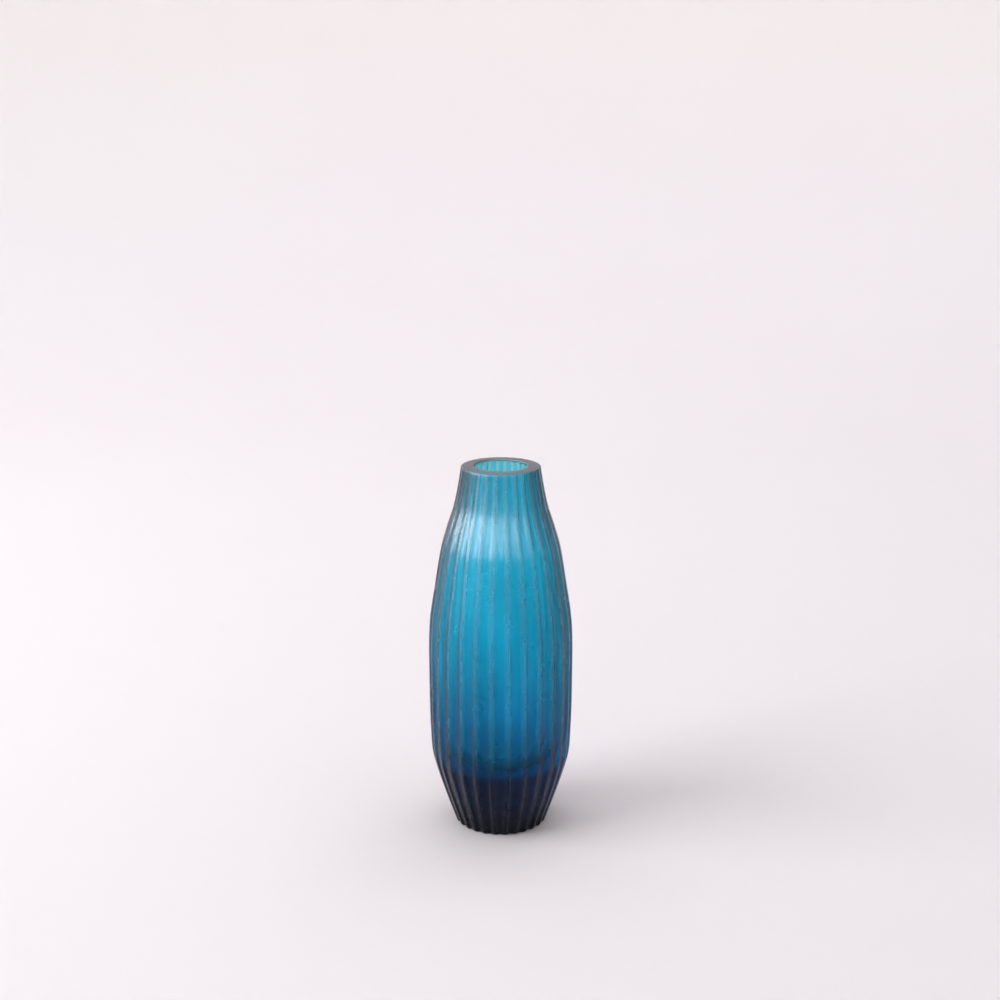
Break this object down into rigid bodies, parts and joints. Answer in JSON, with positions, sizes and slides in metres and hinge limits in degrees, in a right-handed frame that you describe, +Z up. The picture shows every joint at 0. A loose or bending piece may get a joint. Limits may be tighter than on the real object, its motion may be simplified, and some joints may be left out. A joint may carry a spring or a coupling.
{
  "type": "bud vase",
  "caption": "Slim oval bud vase in cased turquoise and smoky glass, cut all round with vertical flutes, with a thick ground rim and a heavy dark foot.",
  "frame": {"origin": "centre of the ground foot, on the surface the vase stands on", "axes": "+Z up along the axis of the vase, +Y away from the side the picture was taken from, +X to the right of that view"},
  "size_m": [0.0898, 0.0898, 0.232],
  "materials": {
    "smoky_glass": "satin",
    "turquoise_glass": "polished",
    "dark_glass": "polished"
  },
  "bodies": {
    "root": {"outer_casing": "smoky_glass", "inner_lining": "turquoise_glass", "base_gather": "dark_glass"}
  },
  "joints": []
}
